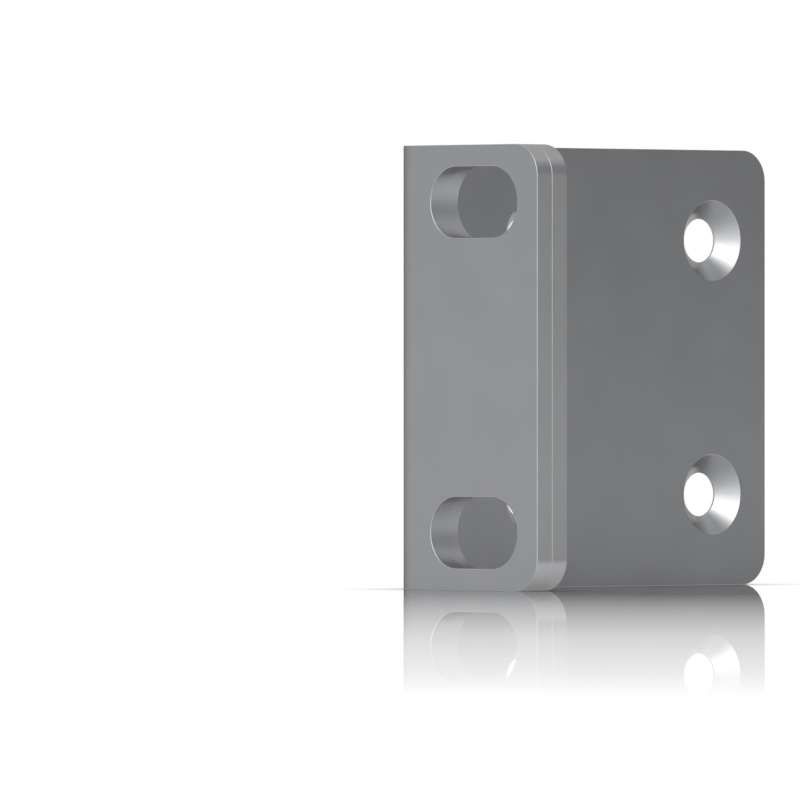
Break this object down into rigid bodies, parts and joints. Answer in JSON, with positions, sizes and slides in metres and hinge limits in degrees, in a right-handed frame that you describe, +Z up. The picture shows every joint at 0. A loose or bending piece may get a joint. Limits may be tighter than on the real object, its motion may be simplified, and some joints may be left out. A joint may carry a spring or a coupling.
{
  "type": "rack mount ear bracket",
  "caption": "L-shaped sheet-metal rack ear with a doubled slotted flange and countersunk holes that screw to the side of a one-unit chassis.",
  "frame": {"origin": "centre of the footprint's bounding box, on the lower cut edge that the ear stands on", "axes": "+X from the chassis face of the web to the free edge of the flange, +Y from the front face of the flange back along the web, +Z up"},
  "size_m": [0.0196, 0.049, 0.0428],
  "materials": {
    "plated_steel": "satin"
  },
  "bodies": {
    "root": {"folded_ear": "plated_steel", "flange_doubler": "plated_steel"}
  },
  "joints": []
}
